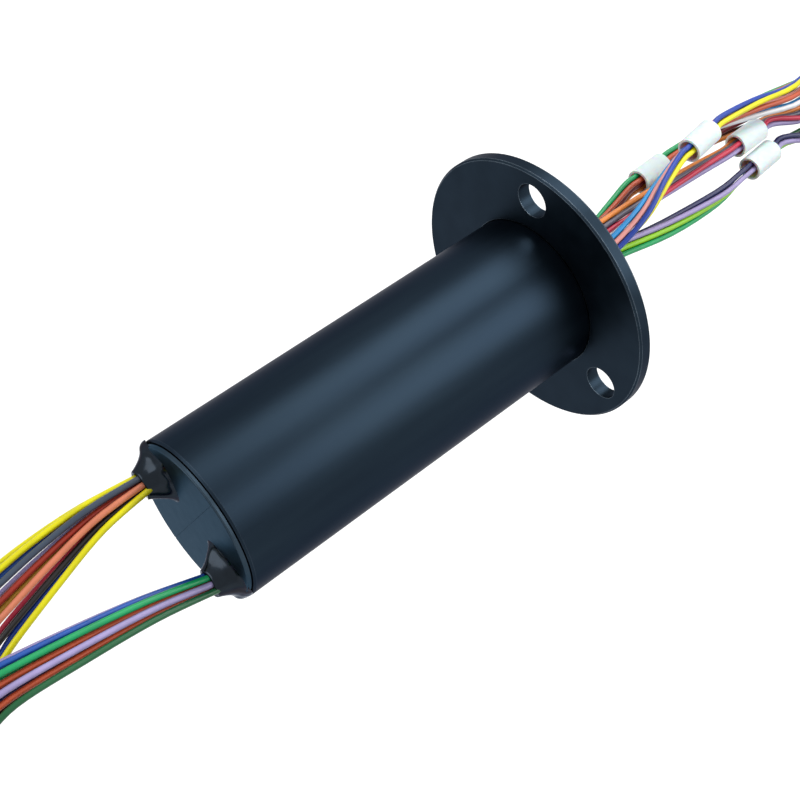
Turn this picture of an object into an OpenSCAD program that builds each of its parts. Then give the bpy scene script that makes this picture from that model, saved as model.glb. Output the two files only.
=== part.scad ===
// Capsule slip ring with a three-hole mounting flange.
// Axis of rotation on X, origin at the centre of the flange's body-side face,
// housing toward -X, rotor nose and rotor leads toward +X. Millimetres.

/* [Housing] */
// outer diameter of the housing tube
body_od = 25; // [20:0.5:32]
// from the flange's body-side face to the outer face of the end cap
body_len = 64.5; // [63:0.5:90]
// wall of the housing tube
housing_wall = 2; // [1.2:0.1:2.5]
// chamfer on the outer edge at the cap end
housing_chamfer = 0.3; // [0.1:0.05:0.6]
// radial depth of the lip that stops the front bearing
lip_depth = 0.8; // [0.4:0.1:0.9]
// thickness of that lip
lip_t = 1; // [0.6:0.1:1.5]

/* [Flange] */
// outer diameter of the mounting flange
flange_od = 45; // [42:0.5:60]
// thickness of the mounting flange
flange_t = 2.25; // [1.8:0.05:4]
// diameter of the circle through the hole centres
bolt_circle = 35.6; // [33.5:0.1:36]
// diameter of each fixing hole
bolt_hole = 5.5; // [3.2:0.1:6]
// number of fixing holes
bolt_count = 3; // [3:1:4]
// chamfer on both outer edges of the flange
flange_chamfer = 0.3; // [0.1:0.05:0.6]
// chamfer on the housing's shoulder, seen as a fine seam at the flange
seam_chamfer = 0.2; // [0.1:0.05:0.4]
// radial step of the shoulder that the flange is pressed up to
flange_step = 0.5; // [0.4:0.1:1]
// depth of the shoulder inside the flange, below a bevelled seam
seam_depth = 0.3; // [0.2:0.05:0.5]
// radial clearance of that bevel past the housing's outer surface
seam_clearance = 0.1; // [0.05:0.05:0.3]

/* [End cap] */
// thickness of the visible rim of the cap
cap_rim_t = 0.8; // [0.5:0.1:2]
// step from the housing's outer surface in to the cap's rim
cap_inset = 0.45; // [0.2:0.05:0.8]
// rounding of the cap's outer edge
cap_round = 0.25; // [0.1:0.05:0.4]
// width of the groove between the housing and the rim
groove_w = 0.2; // [0.1:0.05:0.4]
// depth of that groove below the rim
groove_depth = 0.4; // [0.2:0.05:0.6]
// length of the spigot inside the housing
spigot_len = 2.2; // [1.5:0.1:3]
// radial play of the spigot
spigot_gap = 0.05; // [0.02:0.01:0.1]
// width of the scribed line on the face
scribe_w = 0.12; // [0.08:0.01:0.25]
// depth of the scribed line
scribe_depth = 0.1; // [0.05:0.01:0.2]

/* [Lead exits] */
// direction of the first exit from +Y, the second is opposite
exit_angle = 35; // [0:1:60]
// distance from the housing's outer surface in to the middle of each exit
exit_inset = 4.5; // [4.3:0.1:5]
// radius of the notch that the leads pass
notch_r = 2.5; // [2.4:0.05:2.6]
// radius of the glue mound where it meets the cap
mound_base_r = 3.8; // [3:0.1:4]
// height of the glue mound
mound_h = 2.8; // [2:0.1:4]

/* [Leads] */
// diameter of one lead over its insulation
lead_d = 0.9; // [0.6:0.05:0.95]
// gap between neighbouring leads of a group
lead_gap = 0.07; // [0.05:0.01:0.15]
// radius of a coil's outermost half turn at the middle of the bundle
coil_r = 8.2; // [8:0.1:9]
// straight run of each stator coil
coil_run_stator = 14; // [8:0.5:30]
// straight run of each rotor coil
coil_run_rotor = 6.5; // [6:0.5:30]
// turns in each coil
coil_turns = 3; // [3:1:3]
// width of a tie along the lead
tie_w = 2.5; // [1.5:0.1:4]
// thickness of a tie
tie_t = 0.5; // [0.3:0.05:1]

/* [Sleeves] */
// length of each sleeve
sleeve_len = 6.5; // [4:0.1:8]
// radial play between the six leads and the sleeve
sleeve_gap = 0.04; // [0.02:0.01:0.2]
// wall of each sleeve
sleeve_wall = 0.4; // [0.3:0.05:0.8]
// straight stretch of the leads on either side of a sleeve
sleeve_run = 3; // [1:0.5:5]

/* [Rotor] */
// length of the nose past the flange's outer face
nose_len = 8; // [5:0.5:20]
// radial step from the front bearing's seat down to the nose
nose_step = 1; // [0.5:0.1:2]
// wall of the nose round the lead passage
nose_wall = 2.5; // [1.5:0.1:2.6]
// length of the bearing's seat past the flange's outer face
seat_past_flange = 1; // [0.5:0.1:2]
// chamfer at the tip of the nose
nose_chamfer = 0.5; // [0.2:0.1:0.8]
// depth of the potting below the tip
potting_depth = 0.5; // [0.2:0.1:1.5]
// length of the potting plug
potting_len = 3; // [2:0.5:5]
// wall of the hollow core that carries the rings
core_wall = 1.8; // [1.2:0.1:2.5]
// solid length of the core next to the rear bearing
core_plug = 2; // [1:0.5:5]
// bare core between the end collar and the rear bearing
core_tail = 5.2; // [3:0.1:8]

/* [Contact rings] */
// number of circuits
circuits = 24; // [4:4:24]
// width of one contact ring
ring_w = 1.1; // [0.8:0.05:1.2]
// radial space from the contact rings out to the housing's bore
brush_space = 3.8; // [3.5:0.1:4.5]
// radial thickness of a contact ring
ring_wall = 0.9; // [0.5:0.1:1.2]
// wall of the carrier under the rings
carrier_wall = 0.8; // [0.5:0.05:1]
// radial height of the barriers above the rings
barrier_h = 0.6; // [0.3:0.05:0.7]
// length of the carrier's collar next to the front bearing
carrier_lead_in = 3.5; // [2:0.1:4]
// length of the end collar behind the carrier
collar_len = 2.6; // [1.5:0.1:3]

/* [Brushes] */
// thickness of each brush board
board_t = 1; // [0.8:0.1:1.2]
// width of each brush board
board_w = 8.6; // [7:0.1:9]
// gap between the board's edges and the housing's bore
board_gap = 0.25; // [0.1:0.05:0.4]
// diameter of one brush wire
wire_d = 0.3; // [0.2:0.02:0.4]
// distance between the two wires of a pair where they leave the board
wire_spread = 6.8; // [6:0.1:7.2]
// length of wire past the point of contact
wire_over = 1.5; // [0.5:0.1:2.5]
// working gap between wire and ring
wire_gap = 0.06; // [0.04:0.01:0.1]

/* [Bearings] */
// width of both bearings
bearing_w = 4; // [3.5:0.1:4.5]
// radial section of the front bearing
front_section = 3; // [2.8:0.1:3.5]
// radial section of the rear bearing
rear_section = 4; // [3.5:0.1:4.5]
// wall of the plate between the rear bearing and the housing
plate_wall = 2.5; // [2:0.1:3]
// wall of the front bearing's races
race_wall = 0.95; // [0.8:0.05:1.05]
// wall of the rear bearing's races
rear_race_wall = 1.2; // [1:0.05:1.4]
// shoulder past the retaining ring that the front inner race rests on
shoulder_past_clip = 0.4; // [0.2:0.1:1]
// play between balls and races
ball_play = 0.05; // [0.02:0.01:0.08]
// play between balls and cage
pocket_play = 0.05; // [0.02:0.01:0.08]
// balls in the front bearing
front_balls = 18; // [10:1:20]
// balls in the rear bearing
rear_balls = 10; // [6:1:12]
// width of a retaining ring or circlip
clip_w = 0.8; // [0.5:0.05:1]
// depth of the groove that holds a clip
clip_seat = 0.3; // [0.2:0.05:0.5]
// radial height of a clip
clip_h = 1.3; // [0.8:0.1:1.5]
// opening angle of a clip
clip_gap = 24; // [10:1:60]
// thickness of the preload washer
washer_t = 0.9; // [0.4:0.1:1.5]

/* [Hidden] */

// colours
BLACK = [0.09, 0.11, 0.13];
SLATE = [0.27, 0.33, 0.39];
GLUE = [0.05, 0.05, 0.06];
STEEL = [0.72, 0.73, 0.75];
GOLD = [0.83, 0.66, 0.28];
BRASS = [0.76, 0.6, 0.3];
BOARD = [0.1, 0.4, 0.22];
PLASTIC = [0.16, 0.16, 0.17];
WHITE = [0.93, 0.94, 0.93];

// smoothness of large, medium and small rounds
FN = 96;
FM = 64;
FS = 24;
// overshoot of a cutting tool past the face that it cuts
CUT = 0.5;

// derived radii and stations
body_r = body_od / 2;
bore_r = body_r - housing_wall;
tube_end = -(body_len - cap_rim_t);
lip_x = flange_t - lip_t;
front_in = lip_x - bearing_w;
spigot_end = tube_end + spigot_len;
plate_x = spigot_end + washer_t;
plate_in = plate_x + bearing_w;
nose_tip = flange_t + nose_len;
potting_face = nose_tip - potting_depth;
carrier_x = front_in - clip_w - shoulder_past_clip;
ring_r = bore_r - brush_space;
carrier_r = ring_r - ring_wall;
core_r = carrier_r - carrier_wall;
barrier_r = ring_r + barrier_h;
stack_len = carrier_x - plate_in - carrier_lead_in - collar_len - core_tail;
ring_pitch = (stack_len + ring_w) / (circuits + 1);
barrier_w = ring_pitch - ring_w;
board_r = sqrt(pow(bore_r - board_gap, 2) - board_w * board_w / 4) - board_t;
exit_r = body_r - exit_inset;
first_ring = carrier_x - carrier_lead_in;
carrier_len = carrier_lead_in + circuits * ring_pitch + barrier_w;
per_group = circuits / 4;
front_seat_r = bore_r - front_section;
front_ir = front_seat_r + race_wall;
front_or = bore_r - race_wall;
nose_r = front_seat_r - nose_step;
nose_bore_r = nose_r - nose_wall;
rear_out_r = bore_r - plate_wall;
rear_seat_r = rear_out_r - rear_section;
rear_ir = rear_seat_r + rear_race_wall;
rear_or = rear_out_r - rear_race_wall;
mound_tip_r = notch_r;
mound_w = mound_base_r - mound_tip_r;
mound_arc = (mound_h * mound_h + mound_w * mound_w) / (2 * mound_w);

// lead lattice: spacing between neighbours, and the two directions that it is laid out in
lead_step = lead_d + lead_gap;
stagger = 0.25;
ACROSS = [0, -0.86, -0.51];
TOWARD = [0, -0.51, 0.86];
LAY = [0, 2, 1, 3];
// twelve leads: as they leave an exit, and as they enter a coil
FAN12 = [for (i = [0:11]) [(i - 5.5) * stagger, (LAY[i % 4] - 1.5) * (lead_d + lead_gap / 3)]];
ROW12 = [for (i = [0:11]) [(floor(i / 2) - 2.5) * lead_step, (i % 2 - 0.5) * lead_step]];
// six leads: the same block in the nose, in a sleeve and in a coil
ROW6 = [for (i = [0:5]) [(floor(i / 2) - 1) * lead_step + (i % 2 - 0.5) * stagger,
                         (i % 2 - 0.5) * lead_step]];
six_r = norm([lead_step + stagger / 2, lead_step / 2]) + lead_d / 2;
sleeve_ir = six_r + sleeve_gap;

// stations of each bundle: x, y, z, spread across, spread toward, share of the coil block, roll
exit_y = exit_r * cos(exit_angle);
exit_z = exit_r * sin(exit_angle);
exit_x = -body_len - mound_h;
UPPER_ROUTE = [
    [exit_x, exit_y, exit_z, 1, 1, 0, 0], [-75, 6.9, 3.9, 1.7, 1, 0, 0],
    [-83, 7, 1.7, 2.6, 0.85, 0, 0], [-91, 7, -1.2, 3.4, 0.85, 0, 0],
    [-98, 7, -4.2, 2.6, 0.8, 0.6, 0], [-105, 7, -5.5, 1, 1, 1, 0]
];
LOWER_ROUTE = [
    [exit_x, -exit_y, -exit_z, 1, 1, 0, 0], [-76, -5.5, -2.7, 1.3, 1, 0, 0],
    [-86, -4.6, -1.4, 1.7, 1, 0, 0], [-96, -3.8, -0.6, 2.1, 1, 0, 0],
    [-102, -3.6, -1.4, 1.8, 1, 0.6, 0], [-109, -3.6, -2.5, 1, 1, 1, 0]
];
// middle of each sleeve and the direction that it points in
SLEEVES = [
    [[35.7, 6.3, 0], [1, 0.05, 0]], [[41.2, 1.1, 6.4], [1, 0.12, 0.05]],
    [[53.9, 0.4, 0.8], [1, 0.03, 0]], [[54.6, -2.6, -2.7], [1, 0.06, 0.04]]
];
// roll of the block in each sleeve
SLEEVE_ROLL = [-60, 90, 60, -90];
// each group from the potting to its sleeve, and from its sleeve to its coil
TO_SLEEVE = [
    [[potting_face, 1.9, 0, 1, 1, 1, 0], [18, 2.8, -0.2, 1, 1, 1, -15], [24, 4.4, -0.2, 1, 1, 1, -40]],
    [[potting_face, -1.9, 0, 1, 1, 1, 0], [16, -2.4, 1.1, 1, 1, 1, 0], [23, -2.4, 3.4, 1, 1, 1, 30],
     [29, -1.1, 5.1, 1, 1, 1, 70]],
    [[potting_face, 0.9, 1.7, 1, 1, 1, 0], [18, 1.2, 1.6, 1, 1, 1, 0], [30, 1.3, 1, 1, 1, 1, 20],
     [41, 0.9, 0.7, 1, 1, 1, 45]],
    [[potting_face, -0.9, -1.7, 1, 1, 1, 0], [18, -1.3, -2.2, 1, 1, 1, 0],
     [30, -2.6, -3.4, 1, 1, 1, -30], [42, -3.3, -3.6, 1, 1, 1, -70]]
];
TO_COIL = [
    [[52, 5.8, 0, 1.2, 1, 1, -40], [64, 4.1, 0.1, 2, 1.2, 1, -10], [78, 2.3, 0.5, 1.3, 1, 1, 0],
     [92, 1.9, 0.9, 1, 1, 1, 0], [104, 1.9, 1.1, 1, 1, 1, 0]],
    [[56, 0.8, 5.8, 1.2, 1, 1, 130], [66, -0.5, 4.4, 1.5, 1, 1, 170], [79, 2, 4.2, 1.2, 1, 1, 180],
     [92, 5, 3.8, 1, 1, 1, 180], [104, 5.7, 3.4, 1, 1, 1, 180]],
    [[67, -1.6, 0.2, 1.3, 1, 1, 20], [80, -1.9, -0.5, 1.1, 1, 1, 0], [104, -1.9, -1.1, 1, 1, 1, 0]],
    [[68, -3.6, -3.3, 1.4, 1, 1, -150], [80, -4.6, -3.3, 1.2, 1, 1, -180],
     [104, -5.7, -3.4, 1, 1, 1, -180]]
];

module along_x(x0, x1, r) {
    translate([x0, 0, 0]) rotate([0, 90, 0]) cylinder(h = x1 - x0, r = r, $fn = FN);
}

// a ring about X with its outer edges chamfered by c0 at x0 and c1 at x1
module ring_x(x0, x1, ro, ri, c0 = 0, c1 = 0) {
    translate([x0, 0, 0]) rotate([0, 90, 0]) rotate_extrude($fn = FN)
        polygon([[ri, 0], [ro - c0, 0], [ro, c0], [ro, x1 - x0 - c1], [ro - c1, x1 - x0],
                 [ri, x1 - x0]]);
}

// a shaft profile about X: list of [x, r] from one end to the other, closed on the axis radius ri
module turned(profile, ri) {
    n = len(profile) - 1;
    rotate([0, 90, 0]) rotate_extrude($fn = FN)
        polygon(concat([[ri, profile[0][0]]], [for (p = profile) [p[1], p[0]]],
                       [[ri, profile[n][0]]]));
}

module clip_ring(x0, ro, ri, at) {
    rotate([at, 0, 0]) difference() {
        ring_x(x0, x0 + clip_w, ro, ri);
        translate([x0 - CUT, 0, 0]) rotate([0, 90, 0]) linear_extrude(clip_w + 2 * CUT)
            polygon([[0, 0], 2 * ro * [sin(clip_gap / 2), cos(clip_gap / 2)],
                     2 * ro * [-sin(clip_gap / 2), cos(clip_gap / 2)]]);
    }
}

module housing_tube() color(BLACK) difference() {
    union() {
        ring_x(tube_end, 0, body_r, bore_r - lip_depth, housing_chamfer, seam_chamfer);
        ring_x(-seam_chamfer, seam_depth, body_r - seam_chamfer, bore_r - lip_depth);
        ring_x(-seam_chamfer, flange_t, body_r - flange_step, bore_r - lip_depth);
    }
    along_x(tube_end - CUT, lip_x, bore_r);
    ring_x(front_in - clip_w, front_in, bore_r + clip_seat, bore_r - lip_depth);
}

module mounting_flange() color(BLACK) difference() {
    ring_x(0, flange_t, flange_od / 2, body_r - flange_step, flange_chamfer, flange_chamfer);
    translate([-seam_depth, 0, 0]) rotate([0, 90, 0])
        cylinder(h = 2 * seam_depth, r1 = body_r + 2 * seam_clearance + seam_chamfer,
                 r2 = body_r - seam_chamfer, $fn = FN);
    for (i = [0:bolt_count - 1]) rotate([i * 360 / bolt_count, 0, 0])
        translate([-CUT, 0, bolt_circle / 2]) rotate([0, 90, 0])
            cylinder(h = flange_t + 2 * CUT, d = bolt_hole, $fn = FM);
}

module at_exits(both = true) {
    for (a = both ? [0, 180] : [0]) rotate([exit_angle + a, 0, 0]) translate([0, exit_r, 0]) children();
}

module end_cap() color(SLATE) difference() {
    translate([-body_len, 0, 0]) rotate([0, 90, 0]) rotate_extrude($fn = FN) {
        difference() {
            square([body_r - cap_inset, cap_rim_t]);
            translate([body_r - cap_inset - cap_round, -CUT])
                difference() {
                    square([cap_round + CUT, cap_round + CUT]);
                    translate([0, cap_round + CUT]) circle(r = cap_round, $fn = FM);
                }
            translate([body_r - cap_inset - groove_depth, cap_rim_t - groove_w])
                square([groove_depth + CUT, groove_w + CUT]);
        }
        translate([0, cap_rim_t - CUT]) square([bore_r - spigot_gap, spigot_len + CUT]);
    }
    at_exits() translate([-body_len - CUT, 0, 0]) rotate([0, 90, 0])
        cylinder(h = cap_rim_t + spigot_len + 2 * CUT, r = notch_r, $fn = FM);
    rotate([exit_angle + 90, 0, 0]) translate([-body_len - CUT, -body_r, -scribe_w / 2])
        cube([CUT + scribe_depth, body_od, scribe_w]);
}

// plug in the notch with a mound flaring over the cap's face round the leads
module exit_glue(at) color(GLUE) rotate([at, 0, 0]) translate([0, exit_r, 0]) {
    intersection() {
        translate([-body_len, 0, 0]) rotate([0, 90, 0])
            cylinder(h = cap_rim_t + spigot_len, r = notch_r, $fn = FM);
        translate([0, -exit_r, 0]) along_x(-body_len - CUT, spigot_end + CUT, bore_r - spigot_gap);
    }
    translate([-body_len, 0, 0]) rotate([0, -90, 0]) rotate_extrude($fn = FM) difference() {
        square([mound_base_r, mound_h]);
        translate([mound_tip_r + mound_arc, mound_h]) circle(r = mound_arc, $fn = FN);
    }
}

module exit_glue_upper() exit_glue(exit_angle);
module exit_glue_lower() exit_glue(exit_angle + 180);

// carries the rear bearing and has two side notches for the leads
module bearing_plate() color(PLASTIC) difference() {
    ring_x(plate_x, plate_in, bore_r, rear_out_r);
    at_exits() translate([plate_x - CUT, 2 * notch_r, 0]) rotate([0, 90, 0])
        cylinder(h = bearing_w + 2 * CUT, r = notch_r + 1, $fn = FM);
}

module preload_washer() color(STEEL) ring_x(spigot_end, plate_x, rear_out_r, rear_or);

module front_retaining_ring() color(STEEL)
    clip_ring(front_in - clip_w, bore_r + clip_seat, bore_r + clip_seat - clip_h, 180);

module shaft_circlip() color(STEEL)
    clip_ring(lip_x, front_seat_r - clip_seat + clip_h, front_seat_r - clip_seat, 0);

module front_outer_race() color(STEEL) ring_x(front_in, lip_x, bore_r, front_or);
module front_inner_race() color(STEEL) ring_x(front_in, lip_x, front_ir, front_seat_r);
module rear_outer_race() color(STEEL) ring_x(plate_x, plate_in, rear_out_r, rear_or);
module rear_inner_race() color(STEEL) ring_x(plate_x, plate_in, rear_ir, rear_seat_r);

module ball_ring(x, ri, ro, n, play = ball_play) {
    for (i = [0:n - 1]) rotate([i * 360 / n, 0, 0]) translate([x, (ri + ro) / 2, 0])
        sphere(r = (ro - ri) / 2 - play, $fn = FS);
}

module cage(x, ri, ro, n) difference() {
    ring_x(x - bearing_w / 4, x + bearing_w / 4, (ri + ro) / 2 + (ro - ri) / 6,
           (ri + ro) / 2 - (ro - ri) / 6);
    ball_ring(x, ri, ro, n, ball_play - pocket_play);
}

module front_ball_set() color(STEEL) ball_ring(front_in + bearing_w / 2, front_ir, front_or, front_balls);
module front_ball_cage() color(BRASS) cage(front_in + bearing_w / 2, front_ir, front_or, front_balls);
module rear_ball_set() color(STEEL) ball_ring(plate_x + bearing_w / 2, rear_ir, rear_or, rear_balls);
module rear_ball_cage() color(BRASS) cage(plate_x + bearing_w / 2, rear_ir, rear_or, rear_balls);

module brush_board(at) color(BOARD) rotate([at, 0, 0])
    translate([plate_in, board_r, -board_w / 2])
        cube([carrier_x - plate_in, board_t, board_w]);

module brush_board_upper() brush_board(exit_angle);
module brush_board_lower() brush_board(exit_angle + 180);

// pairs of spring wires that leave a board and straddle every second ring
module brush_wires(at, first) {
    reach = norm([board_r, wire_spread / 2]);
    touch = ring_r + wire_gap + wire_d / 2;
    lean = atan2(wire_spread / 2, board_r) + acos(touch / reach);
    leg = sqrt(reach * reach - touch * touch);
    color(GOLD) rotate([at, 0, 0])
        for (i = [first:2:circuits - 1]) for (s = [0, 1]) mirror([0, 0, s])
            rotate([lean, 0, 0]) translate([ring_x0(i) + ring_w / 2, touch, -leg])
                cylinder(h = leg + wire_over, d = wire_d, $fn = FS);
}

module brush_wires_upper() brush_wires(exit_angle, 0);
module brush_wires_lower() brush_wires(exit_angle + 180, 1);

module rotor_shaft() color(PLASTIC) difference() {
    turned([
        [plate_x, rear_seat_r], [plate_in, rear_seat_r], [plate_in, core_r],
        [carrier_x, core_r], [carrier_x, front_seat_r + race_wall / 2],
        [front_in, front_seat_r + race_wall / 2], [front_in, front_seat_r],
        [lip_x, front_seat_r], [lip_x, front_seat_r - clip_seat],
        [lip_x + clip_w, front_seat_r - clip_seat], [lip_x + clip_w, front_seat_r],
        [flange_t + seat_past_flange, front_seat_r], [flange_t + seat_past_flange, nose_r],
        [nose_tip - nose_chamfer, nose_r], [nose_tip, nose_r - nose_chamfer]], 0);
    along_x(carrier_x, nose_tip + CUT, nose_bore_r);
    along_x(plate_in + core_plug, carrier_x + CUT, core_r - core_wall);
}

function ring_x0(i) = first_ring - (i + 1) * ring_pitch;

module ring_carrier() color(PLASTIC) difference() {
    union() {
        ring_x(carrier_x - carrier_len, carrier_x, carrier_r, core_r);
        ring_x(first_ring - barrier_w, carrier_x, barrier_r, core_r);
        for (i = [0:circuits - 1])
            ring_x(ring_x0(i) - barrier_w, ring_x0(i), barrier_r, core_r);
    }
}

module contact_rings(g) color(GOLD)
    for (i = [(g - 1) * per_group:g * per_group - 1])
        ring_x(ring_x0(i), ring_x0(i) + ring_w, ring_r, carrier_r);

module contact_rings_1() contact_rings(1);
module contact_rings_2() contact_rings(2);
module contact_rings_3() contact_rings(3);
module contact_rings_4() contact_rings(4);

module end_collar() color(STEEL)
    ring_x(carrier_x - carrier_len - collar_len, carrier_x - carrier_len, carrier_r, core_r, 0.2, 0);

module nose_potting() color(GLUE) along_x(potting_face - potting_len, potting_face, nose_bore_r);

// Catmull-Rom curve through the stations, k samples to each span
function blend(a, b, c, d, t) =
    0.5 * (2 * b + (c - a) * t + (2 * a - 5 * b + 4 * c - d) * t * t
           + (3 * b - a - 3 * c + d) * t * t * t);
function curve(st, k) = let (n = len(st) - 1) concat(
    [for (i = [0:n - 1]) for (j = [0:k - 1])
        blend(st[max(i - 1, 0)], st[i], st[i + 1], st[min(i + 2, n)], j / k)],
    [st[n]]);

// one lead's place at a station: f as it fans out, b in the coil's block
function placed(s, f, b) =
    let (u = s[3] * ((1 - s[5]) * f.x + s[5] * b.x), v = s[4] * ((1 - s[5]) * f.y + s[5] * b.y))
    [s.x, s.y, s.z] + ACROSS * (u * cos(s[6]) - v * sin(s[6])) + TOWARD * (u * sin(s[6]) + v * cos(s[6]));

// stations of one rotor group, straight through its sleeve
function at_sleeve(g, d) = let (s = SLEEVES[g], c = s[0] + s[1] / norm(s[1]) * d)
    [c.x, c.y, c.z, 1, 1, 1, SLEEVE_ROLL[g]];
function group_route(g) = concat(TO_SLEEVE[g],
    [for (d = [-sleeve_len / 2 - sleeve_run, -sleeve_len / 2, sleeve_len / 2, sleeve_len / 2 + sleeve_run])
        at_sleeve(g, d)],
    TO_COIL[g]);

// round tube swept along the points, with both ends square to X
module tube(pts) {
    n = len(pts);
    sides = 8;
    rings = [for (i = [0:n - 1])
        let (t = i == 0 || i == n - 1 ? [sign(pts[n - 1].x - pts[0].x), 0, 0]
                 : (pts[i + 1] - pts[i - 1]) / norm(pts[i + 1] - pts[i - 1]),
             a = cross(t, [0, 0, 1]) / norm(cross(t, [0, 0, 1])), b = cross(t, a))
        for (j = [0:sides - 1])
            pts[i] + lead_d / 2 * (a * cos((j + 0.5) * 360 / sides) + b * sin((j + 0.5) * 360 / sides))];
    polyhedron(rings, concat(
        [[for (j = [0:sides - 1]) sides - 1 - j]],
        [[for (j = [0:sides - 1]) (n - 1) * sides + j]],
        [for (i = [0:n - 2]) for (j = [0:sides - 1])
            let (p = i * sides + j, q = i * sides + (j + 1) % sides) [p, q, q + sides, p + sides]]));
}

module bundle(route, k, fan, block) {
    st = curve(route, k);
    for (i = [0:len(fan) - 1]) tube([for (s = st) placed(s, fan[i], block[i])]);
}

module stator_leads_upper() color([0.85, 0.8, 0.1]) bundle(UPPER_ROUTE, 3, FAN12, ROW12);
module stator_leads_lower() color([0.1, 0.6, 0.35]) bundle(LOWER_ROUTE, 3, FAN12, ROW12);

module rotor_leads(g, c) color(c) bundle(group_route(g), 2, ROW6, ROW6);
module rotor_leads_1() rotor_leads(0, [0.7, 0.35, 0.2]);
module rotor_leads_2() rotor_leads(1, [0.1, 0.6, 0.85]);
module rotor_leads_3() rotor_leads(2, [0.75, 0.15, 0.25]);
module rotor_leads_4() rotor_leads(3, [0.2, 0.7, 0.4]);

module lead_sleeve(g) {
    mid = SLEEVES[g][0];
    dir = SLEEVES[g][1];
    color(WHITE) translate(mid) rotate([0, acos(dir.z / norm(dir)), atan2(dir.y, dir.x)])
        difference() {
            cylinder(h = sleeve_len, r = sleeve_ir + sleeve_wall, center = true, $fn = FM);
            cylinder(h = sleeve_len + 2 * CUT, r = sleeve_ir, center = true, $fn = FM);
        }
}
module lead_sleeve_1() lead_sleeve(0);
module lead_sleeve_2() lead_sleeve(1);
module lead_sleeve_3() lead_sleeve(2);
module lead_sleeve_4() lead_sleeve(3);

// coil of the remaining length: the bundle comes in along the outermost straight run
half_block = lead_step / 2 + lead_d / 2;
turn_step = 2 * lead_step + lead_gap;
coil_or = coil_r + half_block;
coil_tilt = atan2(-ACROSS.z, -ACROSS.y);

module coil_frame(end, way) {
    translate([end.x, end.y, end.z]) rotate([coil_tilt, 0, 0])
        if (way < 0) mirror([1, 0, 0]) children(); else children();
}

module lead_coil(end, way, run, rows) {
    t = rows * lead_step + (rows == 3 ? stagger : 0);
    coil_frame(end, way) rotate([90, 0, 0]) translate([0, 0, -t / 2]) linear_extrude(t) {
        translate([0, -coil_r - coil_or]) square([run, coil_r + coil_or + half_block]);
        translate([run, -coil_r]) circle(r = coil_or, $fn = FM);
        translate([0, -coil_r - turn_step / 2]) circle(r = coil_or - turn_step / 2, $fn = FM);
    }
}

module lead_tie(end, way, run, rows) {
    t = rows * lead_step + (rows == 3 ? stagger : 0);
    color(PLASTIC) coil_frame(end, way) translate([run / 2, 0, half_block - coil_or])
        difference() {
            cube([tie_w, t + 2 * tie_t, 2 * coil_or + 2 * tie_t], center = true);
            cube([tie_w + 2 * CUT, t, 2 * coil_or], center = true);
        }
}

function last(v) = v[len(v) - 1];

module stator_coil_upper() color([0.75, 0.7, 0.1]) lead_coil(last(UPPER_ROUTE), -1, coil_run_stator, 6);
module stator_coil_lower() color([0.1, 0.5, 0.3]) lead_coil(last(LOWER_ROUTE), -1, coil_run_stator, 6);
module stator_tie_upper() lead_tie(last(UPPER_ROUTE), -1, coil_run_stator, 6);
module stator_tie_lower() lead_tie(last(LOWER_ROUTE), -1, coil_run_stator, 6);

module rotor_coil(g, c) color(c) lead_coil(last(TO_COIL[g]), 1, coil_run_rotor, 3);
module rotor_coil_1() rotor_coil(0, [0.6, 0.3, 0.2]);
module rotor_coil_2() rotor_coil(1, [0.1, 0.5, 0.75]);
module rotor_coil_3() rotor_coil(2, [0.65, 0.15, 0.2]);
module rotor_coil_4() rotor_coil(3, [0.2, 0.6, 0.35]);
module rotor_tie_1() lead_tie(last(TO_COIL[0]), 1, coil_run_rotor, 3);
module rotor_tie_2() lead_tie(last(TO_COIL[1]), 1, coil_run_rotor, 3);
module rotor_tie_3() lead_tie(last(TO_COIL[2]), 1, coil_run_rotor, 3);
module rotor_tie_4() lead_tie(last(TO_COIL[3]), 1, coil_run_rotor, 3);

housing_tube();
mounting_flange();
end_cap();
exit_glue_upper();
exit_glue_lower();
bearing_plate();
preload_washer();
front_retaining_ring();
front_outer_race();
front_inner_race();
front_ball_cage();
front_ball_set();
rear_outer_race();
rear_inner_race();
rear_ball_cage();
rear_ball_set();
brush_board_upper();
brush_board_lower();
brush_wires_upper();
brush_wires_lower();
rotor_shaft();
shaft_circlip();
ring_carrier();
end_collar();
nose_potting();
contact_rings_1();
contact_rings_2();
contact_rings_3();
contact_rings_4();
stator_leads_upper();
stator_leads_lower();
stator_coil_upper();
stator_coil_lower();
stator_tie_upper();
stator_tie_lower();
rotor_leads_1();
rotor_leads_2();
rotor_leads_3();
rotor_leads_4();
lead_sleeve_1();
lead_sleeve_2();
lead_sleeve_3();
lead_sleeve_4();
rotor_coil_1();
rotor_coil_2();
rotor_coil_3();
rotor_coil_4();
rotor_tie_1();
rotor_tie_2();
rotor_tie_3();
rotor_tie_4();
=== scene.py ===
"""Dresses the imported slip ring: leads, glue, housing, flange, cap, sleeves and the works inside.

Every length in the classes is in millimetres, in the part's own frame, and is
turned into metres where a mesh is made.
"""

from __future__ import annotations

import logging
import math
from dataclasses import dataclass, field
from enum import Enum

import bmesh
import bpy
from mathutils import Matrix, Vector, noise

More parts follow.
